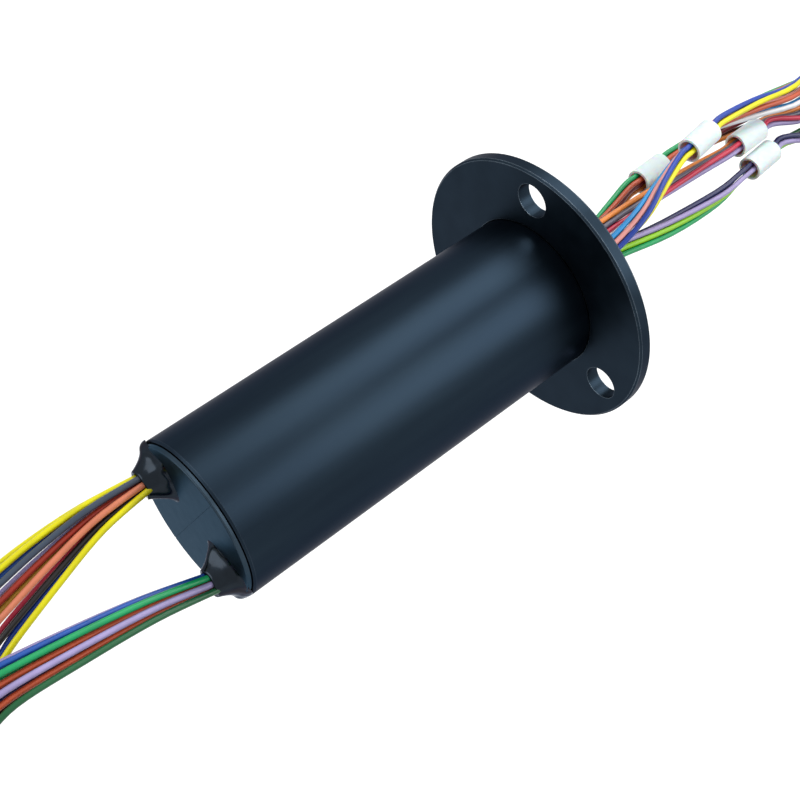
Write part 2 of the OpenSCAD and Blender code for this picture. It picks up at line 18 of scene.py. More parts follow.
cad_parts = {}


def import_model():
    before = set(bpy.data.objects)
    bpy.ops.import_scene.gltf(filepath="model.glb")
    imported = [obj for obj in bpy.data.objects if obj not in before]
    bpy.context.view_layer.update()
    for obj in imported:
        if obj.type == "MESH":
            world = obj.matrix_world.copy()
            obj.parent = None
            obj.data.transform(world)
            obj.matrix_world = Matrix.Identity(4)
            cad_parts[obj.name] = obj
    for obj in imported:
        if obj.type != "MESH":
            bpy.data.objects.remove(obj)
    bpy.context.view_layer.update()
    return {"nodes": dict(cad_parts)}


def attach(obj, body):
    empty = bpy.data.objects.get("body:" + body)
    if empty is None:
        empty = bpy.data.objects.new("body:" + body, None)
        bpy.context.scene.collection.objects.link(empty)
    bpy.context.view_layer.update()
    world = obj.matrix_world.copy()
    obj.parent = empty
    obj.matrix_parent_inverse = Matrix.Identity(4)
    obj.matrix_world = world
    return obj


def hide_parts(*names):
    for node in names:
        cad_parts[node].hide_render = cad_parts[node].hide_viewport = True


LOG = logging.getLogger("slip_ring")
MM = 0.001
ACROSS = Vector((0.0, -0.86, -0.51))
TOWARD = Vector((0.0, -0.51, 0.86))


class Tone(Enum):
    """Colours of the lead insulation, as display values from 0 to 255."""

    YELLOW = (244, 236, 12)
    BLUE = (24, 84, 176)
    LIGHT_BLUE = (22, 150, 222)
    ROYAL = (14, 62, 168)
    SLATE = (62, 76, 94)
    LAVENDER = (168, 156, 206)
    RED_BROWN = (168, 52, 36)
    GOLD = (204, 158, 50)
    SALMON = (232, 138, 104)
    DARK_RED = (112, 24, 34)
    BLACK = (24, 22, 26)
    CRIMSON = (206, 46, 78)
    GREEN = (10, 164, 96)
    DARK_GREEN = (14, 92, 50)
    RUST = (196, 84, 50)
    NAVY = (26, 32, 84)
    WHITE = (232, 234, 238)
    ORANGE = (238, 138, 50)
    PINK = (246, 166, 158)
    GREY = (98, 96, 112)
    LIME = (150, 214, 36)
    BROWN = (116, 50, 28)


class Body(Enum):
    """Bodies of the mechanism that pieces ride on."""

    STATOR = "stator"
    ROTOR = "rotor"


def linear(rgb: tuple[int, int, int]) -> tuple[float, float, float, float]:
    """Turn display values into scene-linear ones.

    Args:
        rgb: red, green and blue from 0 to 255.

    Returns:
        Linear red, green, blue and an alpha of 1.
    """
    out = [c / 3294.6 if c <= 10 else ((c / 255 + 0.055) / 1.055) ** 2.4 for c in rgb]
    return (out[0], out[1], out[2], 1.0)


def link_object(name: str, data: bpy.types.ID) -> bpy.types.Object:
    """Put a new object with that data into the scene.

    Args:
        name: name of the object.
        data: its mesh, curve, light or camera.

    Returns:
        The new object.
    """
    made = bpy.data.objects.new(name, data)
    bpy.context.scene.collection.objects.link(made)
    return made


def mesh_object(name: str, bm: bmesh.types.BMesh, smooth: bool = True) -> bpy.types.Object:
    """Turn a bmesh in millimetres into an object in metres.

    Args:
        name: name of the object.
        bm: the mesh, which is freed.
        smooth: whether its faces are shaded smooth.

    Returns:
        The new object.
    """
    bmesh.ops.scale(bm, vec=(MM, MM, MM), verts=bm.verts)
    mesh = bpy.data.meshes.new(name)
    bm.to_mesh(mesh)
    bm.free()
    for face in mesh.polygons:
        face.use_smooth = smooth
    return link_object(name, mesh)


def dress(piece: bpy.types.Object, material: bpy.types.Material) -> None:
    """Give every slot of a piece the material."""
    slots = piece.data.materials
    if not len(slots):
        slots.append(material)
    for i in range(len(slots)):
        slots[i] = material


class EffectKit:
    """Shader node groups shared by the finishes, made once."""

    def __init__(self) -> None:
        """Make the groups for grain, shade variation, roughness variation and edge wear."""
        self.grain = self._grain()
        self.shade = self._shade()
        self.polish = self._polish()
        self.wear = self._wear()

    @staticmethod
    def _new(name: str, inputs: list[tuple], outputs: list[tuple]) -> bpy.types.NodeTree:
        """Start a group with its sockets.

        Args:
            name: name of the group.
            inputs: name, socket type and default of each input.
            outputs: name and socket type of each output.

        Returns:
            The group, with an input and an output node named "in" and "out".
        """
        tree = bpy.data.node_groups.new(name, "ShaderNodeTree")
        for label, kind, default in inputs:
            tree.interface.new_socket(label, in_out="INPUT", socket_type=kind).default_value = default
        for label, kind in outputs:
            tree.interface.new_socket(label, in_out="OUTPUT", socket_type=kind)
        tree.nodes.new("NodeGroupInput").name = "in"
        tree.nodes.new("NodeGroupOutput").name = "out"
        return tree

    def _grain(self) -> bpy.types.NodeTree:
        """Noise laid along the part, coarse for tone and fine for relief.

        Returns:
            The group, with outputs Tone and Relief from 0 to 1.
        """
        tree = self._new(
            "surface_grain",
            [("Scale", "NodeSocketFloat", 400.0), ("Fine Scale", "NodeSocketFloat", 3000.0),
             ("Stretch", "NodeSocketVector", (1.0, 1.0, 1.0))],
            [("Tone", "NodeSocketFloat"), ("Relief", "NodeSocketFloat")])
        nodes, links = tree.nodes, tree.links
        place = nodes.new("ShaderNodeTexCoord")
        stretch = nodes.new("ShaderNodeVectorMath")
        stretch.operation = "MULTIPLY"
        links.new(place.outputs["Object"], stretch.inputs[0])
        links.new(nodes["in"].outputs["Stretch"], stretch.inputs[1])
        for scale, label, detail in (("Scale", "Tone", 5.0), ("Fine Scale", "Relief", 3.0)):
            cloud = nodes.new("ShaderNodeTexNoise")
            cloud.inputs["Detail"].default_value = detail
            links.new(stretch.outputs[0], cloud.inputs["Vector"])
            links.new(nodes["in"].outputs[scale], cloud.inputs["Scale"])
            links.new(cloud.outputs["Fac"], nodes["out"].inputs[label])
        return tree

    def _shade(self) -> bpy.types.NodeTree:
        """A colour that drifts between two shades with the tone.

        Returns:
            The group, with output Color.
        """
        tree = self._new(
            "shade_drift",
            [("Tone", "NodeSocketFloat", 0.5), ("Dark", "NodeSocketColor", (0, 0, 0, 1)),
             ("Light", "NodeSocketColor", (1, 1, 1, 1))],
            [("Color", "NodeSocketColor")])
        spread = tree.nodes.new("ShaderNodeMapRange")
        spread.inputs["From Min"].default_value = 0.3
        spread.inputs["From Max"].default_value = 0.7
        blend = tree.nodes.new("ShaderNodeMix")
        blend.data_type = "RGBA"
        tree.links.new(tree.nodes["in"].outputs["Tone"], spread.inputs["Value"])
        tree.links.new(spread.outputs[0], blend.inputs[0])
        tree.links.new(tree.nodes["in"].outputs["Dark"], blend.inputs[6])
        tree.links.new(tree.nodes["in"].outputs["Light"], blend.inputs[7])
        tree.links.new(blend.outputs[2], tree.nodes["out"].inputs["Color"])
        return tree

    def _polish(self) -> bpy.types.NodeTree:
        """A roughness that drifts between two values with the tone.

        Returns:
            The group, with output Roughness.
        """
        tree = self._new(
            "polish_drift",
            [("Tone", "NodeSocketFloat", 0.5), ("Smooth", "NodeSocketFloat", 0.3),
             ("Rough", "NodeSocketFloat", 0.4)],
            [("Roughness", "NodeSocketFloat")])
        spread = tree.nodes.new("ShaderNodeMapRange")
        spread.inputs["From Min"].default_value = 0.25
        spread.inputs["From Max"].default_value = 0.75
        for label, socket in (("Tone", "Value"), ("Smooth", "To Min"), ("Rough", "To Max")):
            tree.links.new(tree.nodes["in"].outputs[label], spread.inputs[socket])
        tree.links.new(spread.outputs[0], tree.nodes["out"].inputs["Roughness"])
        return tree

    def _wear(self) -> bpy.types.NodeTree:
        """A colour that turns to a bare one where the surface turns sharply.

        Returns:
            The group, with outputs Color and Mask.
        """
        tree = self._new(
            "edge_wear",
            [("Color", "NodeSocketColor", (0, 0, 0, 1)), ("Worn", "NodeSocketColor", (1, 1, 1, 1)),
             ("Width", "NodeSocketFloat", 0.0002), ("Amount", "NodeSocketFloat", 0.5),
             ("Tone", "NodeSocketFloat", 0.5)],
            [("Color", "NodeSocketColor"), ("Mask", "NodeSocketFloat")])
        nodes, links = tree.nodes, tree.links
        soft = nodes.new("ShaderNodeBevel")
        soft.samples = 4
        links.new(nodes["in"].outputs["Width"], soft.inputs["Radius"])
        flat = nodes.new("ShaderNodeNewGeometry")
        dot = nodes.new("ShaderNodeVectorMath")
        dot.operation = "DOT_PRODUCT"
        links.new(soft.outputs[0], dot.inputs[0])
        links.new(flat.outputs["Normal"], dot.inputs[1])
        edge = nodes.new("ShaderNodeMapRange")
        for label, value in (("From Min", 0.998), ("From Max", 0.90), ("To Min", 0.0), ("To Max", 1.0)):
            edge.inputs[label].default_value = value
        links.new(dot.outputs["Value"], edge.inputs["Value"])
        patchy = nodes.new("ShaderNodeMath")
        patchy.operation = "MULTIPLY"
        links.new(edge.outputs[0], patchy.inputs[0])
        links.new(nodes["in"].outputs["Tone"], patchy.inputs[1])
        amount = nodes.new("ShaderNodeMath")
        amount.operation = "MULTIPLY"
        amount.use_clamp = True
        links.new(patchy.outputs[0], amount.inputs[0])
        links.new(nodes["in"].outputs["Amount"], amount.inputs[1])
        blend = nodes.new("ShaderNodeMix")
        blend.data_type = "RGBA"
        links.new(amount.outputs[0], blend.inputs[0])
        links.new(nodes["in"].outputs["Color"], blend.inputs[6])
        links.new(nodes["in"].outputs["Worn"], blend.inputs[7])
        links.new(blend.outputs[2], nodes["out"].inputs["Color"])
        links.new(amount.outputs[0], nodes["out"].inputs["Mask"])
        return tree


@dataclass(frozen=True)
class Finish:
    """One finish: two shades, a band of roughness, grain, relief and edge wear.

    The shades are display values, the scales are per metre and the relief is in metres.
    """

    name: str
    dark: tuple[int, int, int]
    light: tuple[int, int, int]
    smooth: float = 0.3
    rough: float = 0.4
    metallic: float = 0.0
    specular: float = 0.5
    specular_tint: tuple[int, int, int] = (255, 255, 255)
    coat: float = 0.0
    coat_rough: float = 0.05
    scatter: float = 0.0
    scatter_mm: float = 0.5
    scale: float = 300.0
    fine: float = 2500.0
    stretch: tuple[float, float, float] = (1.0, 1.0, 1.0)
    relief: float = 0.0
    worn: tuple[int, int, int] | None = None
    wear: float = 0.0
    wear_mm: float = 0.2

    def build(self, kit: EffectKit) -> bpy.types.Material:
        """Make the material, or give the one already made.

        Args:
            kit: the shared effects.

        Returns:
            The material.
        """
        found = bpy.data.materials.get(self.name)
        if found:
            return found
        made = bpy.data.materials.new(self.name)
        made.use_nodes = True
        nodes, links = made.node_tree.nodes, made.node_tree.links
        shader = nodes["Principled BSDF"]
        for label, value in (
                ("Metallic", self.metallic), ("Specular IOR Level", self.specular),
                ("Specular Tint", linear(self.specular_tint)), ("Coat Weight", self.coat),
                ("Coat Roughness", self.coat_rough), ("Subsurface Weight", self.scatter),
                ("Subsurface Scale", self.scatter_mm * MM)):
            shader.inputs[label].default_value = value
        grain = self._group(nodes, kit.grain)
        grain.inputs["Scale"].default_value = self.scale
        grain.inputs["Fine Scale"].default_value = self.fine
        grain.inputs["Stretch"].default_value = self.stretch
        shade = self._group(nodes, kit.shade)
        shade.inputs["Dark"].default_value = linear(self.dark)
        shade.inputs["Light"].default_value = linear(self.light)
        polish = self._group(nodes, kit.polish)
        polish.inputs["Smooth"].default_value = self.smooth
        polish.inputs["Rough"].default_value = self.rough
        links.new(grain.outputs["Tone"], shade.inputs["Tone"])
        links.new(grain.outputs["Tone"], polish.inputs["Tone"])
        links.new(polish.outputs["Roughness"], shader.inputs["Roughness"])
        colour = shade.outputs["Color"]
        if self.worn:
            wear = self._group(nodes, kit.wear)
            wear.inputs["Worn"].default_value = linear(self.worn)
            wear.inputs["Width"].default_value = self.wear_mm * MM
            wear.inputs["Amount"].default_value = self.wear
            links.new(grain.outputs["Tone"], wear.inputs["Tone"])
            links.new(colour, wear.inputs["Color"])
            colour = wear.outputs["Color"]
        links.new(colour, shader.inputs["Base Color"])
        if self.relief:
            bump = nodes.new("ShaderNodeBump")
            bump.inputs["Distance"].default_value = self.relief
            bump.inputs["Strength"].default_value = 1.0
            links.new(grain.outputs["Relief"], bump.inputs["Height"])
            links.new(bump.outputs[0], shader.inputs["Normal"])
        return made

    @staticmethod
    def _group(nodes: bpy.types.Nodes, tree: bpy.types.NodeTree) -> bpy.types.Node:
        """Place one of the shared groups among the nodes."""
        node = nodes.new("ShaderNodeGroup")
        node.node_tree = tree
        return node


HOUSING = Finish("anodised_housing", (28, 38, 48), (33, 44, 54), 0.36, 0.43, metallic=1.0,
                 specular_tint=(188, 188, 194), scale=260.0, fine=5200.0, stretch=(0.12, 1.0, 1.0),
                 relief=0.0000012, worn=(92, 104, 116), wear=0.5, wear_mm=0.12)
FLANGE = Finish("anodised_flange", (30, 40, 49), (35, 46, 56), 0.38, 0.46, metallic=1.0,
                specular_tint=(194, 194, 200), scale=240.0, fine=5600.0, relief=0.0000012,
                worn=(126, 140, 152), wear=1.1, wear_mm=0.16)
CAP = Finish("satin_cap", (44, 56, 66), (50, 63, 74), 0.36, 0.46, metallic=1.0,
             specular_tint=(181, 194, 208), scale=420.0, fine=4200.0, relief=0.0000012,
             worn=(76, 88, 100), wear=0.4, wear_mm=0.1)
EPOXY = Finish("glossy_epoxy", (20, 27, 34), (27, 35, 43), 0.16, 0.26, metallic=1.0, coat=0.2,
               specular_tint=(150, 160, 174), coat_rough=0.1, scale=520.0, fine=900.0,
               relief=0.000004)
MOULDED = Finish("moulded_black", (24, 26, 29), (32, 34, 38), 0.38, 0.52, scale=700.0, fine=5200.0,
                 relief=0.000002, worn=(58, 62, 66), wear=0.5, wear_mm=0.15)
BEARING_STEEL = Finish("bearing_steel", (150, 153, 158), (182, 185, 190), 0.14, 0.26, metallic=1.0,
                       scale=900.0, fine=6000.0, stretch=(4.0, 1.0, 1.0), relief=0.000001)
SPRING_STEEL = Finish("spring_steel", (120, 124, 130), (152, 156, 162), 0.24, 0.38, metallic=1.0,
                      scale=700.0, fine=5200.0, relief=0.000001)
BRASS = Finish("cage_brass", (168, 130, 66), (196, 158, 88), 0.24, 0.38, metallic=1.0, scale=800.0,
               fine=5000.0, relief=0.000001)
GOLD = Finish("contact_gold", (212, 164, 74), (236, 192, 104), 0.12, 0.22, metallic=1.0,
              scale=900.0, fine=6400.0, stretch=(6.0, 1.0, 1.0), relief=0.0000008)
BOARD = Finish("circuit_board", (12, 70, 38), (20, 92, 50), 0.32, 0.46, coat=0.3, scale=900.0,
               fine=5200.0, relief=0.000002, worn=(150, 140, 96), wear=0.8, wear_mm=0.12)
SLEEVE = Finish("milky_sleeve", (232, 237, 238), (242, 246, 246), 0.5, 0.62, specular=0.25,
                scatter=0.6, scatter_mm=1.4, scale=500.0, fine=3200.0, relief=0.000003)
TIE = Finish("tie_strap", (22, 23, 25), (32, 33, 36), 0.34, 0.5, scale=900.0, fine=4200.0,
             relief=0.000004)


def insulation(tone: Tone) -> Finish:
    """The finish of one lead's insulation.

    Args:
        tone: its colour.

    Returns:
        The finish, a little uneven in tone along the lead.
    """
    r, g, b = tone.value
    deep = (round(r * 0.9), round(g * 0.9), round(b * 0.9))
    return Finish(f"insulation_{tone.name.lower()}", deep, (r, g, b), 0.3, 0.42, specular=0.42,
                  scale=260.0, fine=2600.0, relief=0.000004)


@dataclass(frozen=True)
class Station:
    """A place on a bundle's way, with how the leads lie round it there."""

    x: float
    y: float
    z: float
    wide: float = 1.0
    deep: float = 1.0
    block: float = 1.0
    roll: float = 0.0

    def numbers(self) -> list[float]:
        """The seven values in order."""
        return [self.x, self.y, self.z, self.wide, self.deep, self.block, self.roll]


def spline(stations: list[list[float]], steps: int) -> list[list[float]]:
    """Pass a Catmull-Rom curve through rows of numbers.

    Args:
        stations: the rows.
        steps: samples to each span.

    Returns:
        The rows on the curve.
    """
    last = len(stations) - 1
    out = []
    for i in range(last):
        a, b = stations[max(i - 1, 0)], stations[i]
        c, d = stations[i + 1], stations[min(i + 2, last)]
        for j in range(steps):
            t = j / steps
            out.append([0.5 * (2 * q + (r - p) * t + (2 * p - 5 * q + 4 * r - s) * t * t
                               + (3 * q - p - 3 * r + s) * t ** 3)
                        for p, q, r, s in zip(a, b, c, d)])
    out.append(list(stations[last]))
    return out


@dataclass
class LeadLay:
    """How leads lie next to one another."""

    diameter: float = 0.9
    gap: float = 0.07
    stagger: float = 0.25
    order: tuple[int, ...] = (0, 2, 1, 3)

    @property
    def step(self) -> float:
        """Distance between the middles of neighbours."""
        return self.diameter + self.gap

    def fan(self) -> list[tuple[float, float]]:
        """Places of twelve leads as they leave an exit."""
        return [((i - 5.5) * self.stagger, (self.order[i % 4] - 1.5) * (self.diameter + self.gap / 3))
                for i in range(12)]

    def block(self, count: int) -> list[tuple[float, float]]:
        """Places of the leads in a block of two rows.

        Args:
            count: twelve or six leads.

        Returns:
            Offset across and toward, for each lead.
        """
        skew = self.stagger if count == 6 else 0.0
        return [((i // 2 - (count / 2 - 1) / 2) * self.step + (i % 2 - 0.5) * skew,
                 (i % 2 - 0.5) * self.step) for i in range(count)]


@dataclass
class Bundle:
    """A bundle of leads: from its exit along its way, and wound up at its end."""

    name: str
    body: Body
    stations: list[Station]
    tones: list[Tone]
    leads_node: str
    coil_node: str
    tie_node: str
    way: int
    run: float
    steps: int
    declared: int
    along: list[str] = field(default_factory=list)
    lay: LeadLay = field(default_factory=LeadLay)
    turn_radius: float = 8.2
    sunk: float = 0.6

    @property
    def turn_step(self) -> float:
        """Distance from one turn of the coil to the next."""
        return 2 * self.lay.step + self.lay.gap

    def route(self, i: int) -> list[Vector]:
        """The way of lead i from inside its exit to its end in the coil.

        Args:
            i: number of the lead.

        Returns:
            Points in millimetres.
        """
        count = len(self.tones)
        block = self.lay.block(count)
        fan = self.lay.fan() if count == 12 else block
        points = []
        for x, y, z, wide, deep, share, roll in spline([s.numbers() for s in self.stations], self.steps):
            u = wide * ((1 - share) * fan[i][0] + share * block[i][0])
            v = deep * ((1 - share) * fan[i][1] + share * block[i][1])
            c, s = math.cos(math.radians(roll)), math.sin(math.radians(roll))
            points.append(Vector((x, y, z)) + ACROSS * (u * c - v * s) + TOWARD * (u * s + v * c))
        points.insert(0, points[0] - Vector((self.way * self.sunk, 0, 0)))
        return points + self._coil(points[-1])

    def _coil(self, start: Vector) -> list[Vector]:
        """The turns of one lead after its last station.

        Args:
            start: where it enters the coil.

        Returns:
            Points in millimetres, without the start.
        """
        end = self.stations[-1]
        middle = Vector((end.x, end.y, end.z))
        side = (start - middle).dot(ACROSS) / ACROSS.length_squared
        lift = (start - middle).dot(TOWARD) / TOWARD.length_squared
        out = []
        level, radius = 0.0, self.turn_radius
        for half in range(6):
            far = half % 2 == 0
            s0 = self.run if far else 0.0
            sign = -1 if far else 1
            centre = level + sign * radius
            for k in range(13):
                a = math.pi * k / 12
                s = s0 + (radius + lift) * math.sin(a) * (1 if far else -1)
                out.append((s, centre - sign * (radius + lift) * math.cos(a)))
            level = centre + sign * radius
            radius -= self.turn_step / 2
        out.append((self.run, level + lift))
        return [middle + Vector((self.way * s, 0, 0)) + TOWARD * w + ACROSS * side for s, w in out]

    def build(self, kit: EffectKit) -> list[bpy.types.Object]:
        """Make the leads.

        Args:
            kit: the shared effects.

        Returns:
            The leads.
        """
        leads = []
        for i, tone in enumerate(self.tones):
            points = self.route(i)
            curve = bpy.data.curves.new(f"{self.name}_lead_{i + 1}", "CURVE")
            curve.dimensions = "3D"
            curve.bevel_depth = self.lay.diameter / 2 * MM
            curve.bevel_resolution = 2
            curve.use_fill_caps = True
            line = curve.splines.new("POLY")
            line.points.add(len(points) - 1)
            for point, place in zip(line.points, points):
                point.co = (*(place * MM), 1.0)
            line.use_smooth = True
            lead = link_object(f"{self.name}_lead_{i + 1}", curve)
            dress(lead, insulation(tone).build(kit))
            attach(lead, self.body.value)
            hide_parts(self.leads_node, self.coil_node)
            leads.append(lead)
        LOG.info("%s: %d leads, %d declared", self.name, len(leads), self.declared)
        return leads


@dataclass
class Leads:
    """All the leads: two bundles at the cap and four groups at the nose."""

    glue_tip: float = -67.3
    exit_y: float = 8 * math.cos(math.radians(35))
    exit_z: float = 8 * math.sin(math.radians(35))
    potting: float = 9.75
    sleeve: float = 6.5
    sleeve_run: float = 3.0

    def stator_bundles(self) -> list[Bundle]:
        """The bundles at the cap.

        Returns:
            The upper and the lower bundle.
        """
        t = Tone
        upper = [Station(self.glue_tip, self.exit_y, self.exit_z, 1, 1, 0),
                 Station(-75, 6.9, 3.9, 1.7, 1, 0), Station(-83, 7, 1.7, 2.6, 0.85, 0),
                 Station(-91, 7, -1.2, 3.4, 0.85, 0), Station(-98, 7, -4.2, 2.6, 0.8, 0.6),
                 Station(-105, 7, -5.5)]
        lower = [Station(self.glue_tip, -self.exit_y, -self.exit_z, 1, 1, 0),
                 Station(-76, -5.5, -2.7, 1.3, 1, 0), Station(-86, -4.6, -1.4, 1.7, 1, 0),
                 Station(-96, -3.8, -0.6, 2.1, 1, 0), Station(-102, -3.6, -1.4, 1.8, 1, 0.6),
                 Station(-109, -3.6, -2.5)]
        return [
            Bundle("upper", Body.STATOR, upper,
                   [t.YELLOW, t.YELLOW, t.BLUE, t.SLATE, t.LAVENDER, t.RED_BROWN, t.GOLD, t.SALMON,
                    t.CRIMSON, t.BLACK, t.ROYAL, t.YELLOW],
                   "stator_leads_upper", "stator_coil_upper", "stator_tie_upper", -1, 14.0, 6, 12),
            Bundle("lower", Body.STATOR, lower,
                   [t.LAVENDER, t.BLUE, t.BLACK, t.GREEN, t.GREEN, t.RUST, t.CRIMSON, t.LAVENDER,
                    t.NAVY, t.RUST, t.BLACK, t.DARK_GREEN],
                   "stator_leads_lower", "stator_coil_lower", "stator_tie_lower", -1, 14.0, 6, 4)]

    def rotor_bundles(self) -> list[Bundle]:
        """The groups at the nose.

        Returns:
            The four groups.
        """
        t, p, s = Tone, self.potting, Station
        starts = [
            [s(p, 1.9, 0), s(18, 2.8, -0.2, roll=-15), s(24, 4.4, -0.2, roll=-40)],
            [s(p, -1.9, 0), s(16, -2.4, 1.1), s(23, -2.4, 3.4, roll=30), s(29, -1.1, 5.1, roll=70)],
            [s(p, 0.9, 1.7), s(18, 1.2, 1.6), s(30, 1.3, 1, roll=20), s(41, 0.9, 0.7, roll=45)],
            [s(p, -0.9, -1.7), s(18, -1.3, -2.2), s(30, -2.6, -3.4, roll=-30),
             s(42, -3.3, -3.6, roll=-70)]]
        sleeves = [((35.7, 6.3, 0), (1, 0.05, 0), -60), ((41.2, 1.1, 6.4), (1, 0.12, 0.05), 90),
                   ((53.9, 0.4, 0.8), (1, 0.03, 0), 60), ((54.6, -2.6, -2.7), (1, 0.06, 0.04), -90)]
        ends = [
            [s(52, 5.8, 0, 1.2, roll=-40), s(64, 4.1, 0.1, 2, 1.2, roll=-10),
             s(78, 2.3, 0.5, 1.3), s(92, 1.9, 0.9), s(104, 1.9, 1.1)],
            [s(56, 0.8, 5.8, 1.2, roll=130), s(66, -0.5, 4.4, 1.5, roll=170),
             s(79, 2, 4.2, 1.2, roll=180), s(92, 5, 3.8, roll=180), s(104, 5.7, 3.4, roll=180)],
            [s(67, -1.6, 0.2, 1.3, roll=20), s(80, -1.9, -0.5, 1.1), s(104, -1.9, -1.1)],
            [s(68, -3.6, -3.3, 1.4, roll=-150), s(80, -4.6, -3.3, 1.2, roll=-180),
             s(104, -5.7, -3.4, roll=-180)]]
        tones = [
            [t.GREEN, t.RUST, t.BLACK, t.DARK_RED, t.BROWN, t.ORANGE],
            [t.WHITE, t.LIGHT_BLUE, t.RUST, t.PINK, t.YELLOW, t.ROYAL],
            [t.BLACK, t.ORANGE, t.NAVY, t.GREY, t.LAVENDER, t.CRIMSON],
            [t.NAVY, t.LAVENDER, t.BLACK, t.LIME, t.DARK_GREEN, t.GREEN]]
        made = []
        for g in range(4):
            centre, aim, roll = sleeves[g]
            aim = Vector(aim).normalized()
            reach = self.sleeve / 2
            inside = []
            for d in (-reach - self.sleeve_run, -reach, reach, reach + self.sleeve_run):
                x, y, z = Vector(centre) + aim * d
                inside.append(s(x, y, z, roll=roll))
            made.append(Bundle(f"rotor_{g + 1}", Body.ROTOR, starts[g] + inside + ends[g], tones[g],
                               f"rotor_leads_{g + 1}", f"rotor_coil_{g + 1}", f"rotor_tie_{g + 1}",
                               1, 6.5, 4, 6, [f"lead_sleeve_{g + 1}"]))
        return made

    def build(self, kit: EffectKit) -> None:
        """Make every lead."""
        for bundle in self.stator_bundles() + self.rotor_bundles():
            bundle.build(kit)


@dataclass
class GlueLobe:
    """A swelling of the glue: where it sits on the cap, how wide and how high it is."""

    y: float
    z: float
    width: float
    height: float


@dataclass
class ExitGlue:
    """The glossy glue round the leads where they leave the cap, drawn over the rim."""

    name: str
    node: str
    angle: float
    lobes: list[GlueLobe]
    exit_radius: float = 8.0
    face_x: float = -64.5
    tip_height: float = 2.75
    tip_radius: float = 2.15
    foot: float = 4.7
    rim_from: float = 11.75
    rim_round: float = 0.85
    rings: int = 44
    spokes: int = 96

    def _height(self, reach: float, y: float, z: float) -> float:
        """How far the glue stands off the cap.

        Args:
            reach: distance from the middle of the exit.
            y: place on the cap.
            z: place on the cap.

        Returns:
            Height in millimetres, below zero past the glue's edge.
        """
        if reach < self.tip_radius:
            body = self.tip_height + 0.08 * (1 - (reach / self.tip_radius) ** 2)
        else:
            t = min((reach - self.tip_radius) / (self.foot - self.tip_radius), 1.0)
            body = self.tip_height * (1 - t) ** 2.3 - 0.16 * t
        for lobe in self.lobes:
            gap = ((y - lobe.y) ** 2 + (z - lobe.z) ** 2) / lobe.width ** 2
            body += lobe.height * math.exp(-gap) * min(1.0, reach / self.tip_radius)
        ripple = 0.07 * noise.noise(Vector((y * 0.8, z * 0.8, self.angle)))
        return body + ripple * min(1.0, reach / self.foot)

    def _place(self, y: float, z: float, height: float) -> Vector:
        """Lay a point of the glue on the cap, or over its rim.

        Args:
            y: place on the flattened cap.
            z: place on the flattened cap.
            height: distance off the surface.

        Returns:
            The point, in millimetres.
        """
        out = math.hypot(y, z)
        cy, cz = y / out, z / out
        past = max(0.0, out - self.rim_from)
        bend = min(past / self.rim_round, math.pi / 2)
        along = max(0.0, past - self.rim_round * math.pi / 2)
        x = self.face_x + self.rim_round * (1 - math.cos(bend)) + along - math.cos(bend) * height
        radius = min(out, self.rim_from) + self.rim_round * math.sin(bend) + math.sin(bend) * height
        return Vector((x, radius * cy, radius * cz))

    def build(self, kit: EffectKit) -> bpy.types.Object:
        """Make the glue.

        Args:
            kit: the shared effects.

        Returns:
            The piece.
        """
        a = math.radians(self.angle)
        y0, z0 = self.exit_radius * math.cos(a), self.exit_radius * math.sin(a)
        bm = bmesh.new()
        middle = bm.verts.new(self._place(y0, z0, self._height(0.0, y0, z0)))
        rows = []
        for i in range(1, self.rings + 1):
            reach = self.foot * 1.12 * i / self.rings
            row = []
            for j in range(self.spokes):
                t = math.tau * j / self.spokes
                y, z = y0 + reach * math.cos(t), z0 + reach * math.sin(t)
                row.append(bm.verts.new(self._place(y, z, self._height(reach, y, z))))
            rows.append(row)
        for j in range(self.spokes):
            k = (j + 1) % self.spokes
            bm.faces.new((middle, rows[0][k], rows[0][j]))
            for near, far in zip(rows, rows[1:]):
                bm.faces.new((near[j], near[k], far[k], far[j]))
        bmesh.ops.recalc_face_normals(bm, faces=bm.faces)
        made = mesh_object(self.name, bm)
        dress(made, EPOXY.build(kit))
        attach(made, Body.STATOR.value)
        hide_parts(self.node)
        LOG.info("%s: %d faces", self.name, len(made.data.polygons))
        return made


def both_glues() -> list[ExitGlue]:
    """The glue at the two exits, each with its own swellings."""
    return [
        ExitGlue("upper_glue", "exit_glue_upper", 35,
                 [GlueLobe(3.6, 3.4, 1.3, 0.75), GlueLobe(8.6, 8.2, 1.7, 0.55),
                  GlueLobe(4.6, 7.6, 1.2, 0.4)]),
        ExitGlue("lower_glue", "exit_glue_lower", 215,
                 [GlueLobe(-4.6, -1.6, 1.2, 0.8), GlueLobe(-9.6, -3.4, 1.5, 0.6),
                  GlueLobe(-7.6, -8.4, 1.5, 0.5)])]


